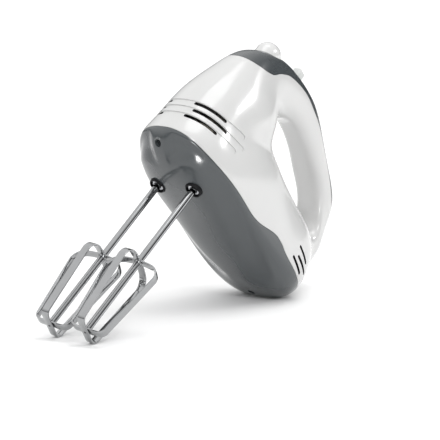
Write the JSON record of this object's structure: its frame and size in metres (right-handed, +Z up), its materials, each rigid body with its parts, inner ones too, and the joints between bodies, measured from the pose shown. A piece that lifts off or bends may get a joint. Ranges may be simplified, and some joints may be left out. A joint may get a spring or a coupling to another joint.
{
  "type": "hand mixer",
  "caption": "Electric hand mixer standing on its heel and beater tips, with whisk beaters, an eject button, a speed slider and a worm-driven gear train.",
  "frame": {"origin": "centre of the mixer's box on the surface that it stands on", "axes": "+Z up, -Y towards the beater tips, +X to the mixer's left side"},
  "size_m": [0.0828, 0.3046, 0.1999],
  "materials": {
    "white_housing": "gloss",
    "slate_plastic": "satin",
    "pale_plastic": "gloss",
    "black_plastic": "matte",
    "beater_chrome": "polished",
    "steel": "machined",
    "lamination_iron": "laminated",
    "copper_winding": "enamelled wire",
    "bronze": "sintered",
    "nylon": "moulded",
    "carbon": "sintered carbon",
    "board": "laminate",
    "capacitor": "moulded"
  },
  "bodies": {
    "housing": {"upper_housing": "white_housing", "lower_housing": "slate_plastic", "grip_cover": "slate_plastic", "left_socket_bush": "black_plastic", "right_socket_bush": "black_plastic", "cord_inlet": "black_plastic", "speed_switch": "black_plastic", "eject_spring": "steel", "front_housing_screw": "steel", "rear_housing_screw": "steel", "stator_core": "lamination_iron", "front_motor_bracket": "lamination_iron", "rear_motor_bracket": "lamination_iron", "upper_field_coil": "copper_winding", "lower_field_coil": "copper_winding", "front_bearing": "bronze", "rear_bearing": "bronze", "left_brush_holder": "bronze", "right_brush_holder": "bronze", "gear_frame": "nylon", "spring_seat": "nylon", "left_brush": "carbon", "right_brush": "carbon", "circuit_board": "board", "noise_capacitor": "capacitor"},
    "rotor": {"motor_shaft": "steel", "armature_core": "lamination_iron", "armature_winding_front": "copper_winding", "armature_winding_rear": "copper_winding", "commutator": "copper_winding", "cooling_fan": "black_plastic", "drive_worm": "steel"},
    "left_drive": {"left_drive_gear": "nylon", "left_spindle": "steel"},
    "right_drive": {"right_drive_gear": "nylon", "right_spindle": "steel"},
    "eject": {"eject_button": "pale_plastic", "eject_yoke": "nylon"},
    "left_pin": {"left_push_pin": "steel"},
    "right_pin": {"right_push_pin": "steel"},
    "slider": {"speed_slider": "pale_plastic"},
    "left_beater": {"left_beater_shaft": "beater_chrome", "left_beater_outer_band": "beater_chrome", "left_beater_inner_band": "beater_chrome"},
    "right_beater": {"right_beater_shaft": "beater_chrome", "right_beater_outer_band": "beater_chrome", "right_beater_inner_band": "beater_chrome"}
  },
  "joints": [
    {"name": "motor_spin", "type": "hinge", "parent": "housing", "child": "rotor", "pos_m": [0, 0.00415, 0.12207], "axis": [0, 0.599, -0.8007], "continuous": true},
    {"name": "left_drive_spin", "type": "hinge", "parent": "housing", "child": "left_drive", "pos_m": [0.018, 0.00415, 0.12207], "axis": [0, 0.8007, 0.599], "continuous": true},
    {"name": "right_drive_spin", "type": "hinge", "parent": "housing", "child": "right_drive", "pos_m": [-0.018, 0.00415, 0.12207], "axis": [0, 0.8007, 0.599], "continuous": true},
    {"name": "eject_press", "type": "slide", "parent": "housing", "child": "eject", "axis": [0, -0.8007, -0.599], "range_m": [0, 0.006], "stiffness_N_per_m": 400, "springref_m": -0.002, "deforming": ["eject_spring"]},
    {"name": "left_pin_push", "type": "slide", "parent": "left_drive", "child": "left_pin", "axis": [0, -0.8007, -0.599], "range_m": [0, 0.006]},
    {"name": "right_pin_push", "type": "slide", "parent": "right_drive", "child": "right_pin", "axis": [0, -0.8007, -0.599], "range_m": [0, 0.006]},
    {"name": "left_beater_pull", "type": "slide", "parent": "left_pin", "child": "left_beater", "axis": [0, -0.8007, -0.599], "range_m": [0, 0.05]},
    {"name": "right_beater_pull", "type": "slide", "parent": "right_pin", "child": "right_beater", "axis": [0, -0.8007, -0.599], "range_m": [0, 0.05]},
    {"name": "speed_slide", "type": "slide", "parent": "housing", "child": "slider", "axis": [0, 0.599, -0.8007], "range_m": [0, 0.02]}
  ],
  "couplings": [
    {"joint": "left_drive_spin", "follows": "motor_spin", "ratio": 0.05},
    {"joint": "right_drive_spin", "follows": "motor_spin", "ratio": -0.05},
    {"joint": "left_pin_push", "follows": "eject_press", "ratio": 1},
    {"joint": "right_pin_push", "follows": "eject_press", "ratio": 1}
  ]
}
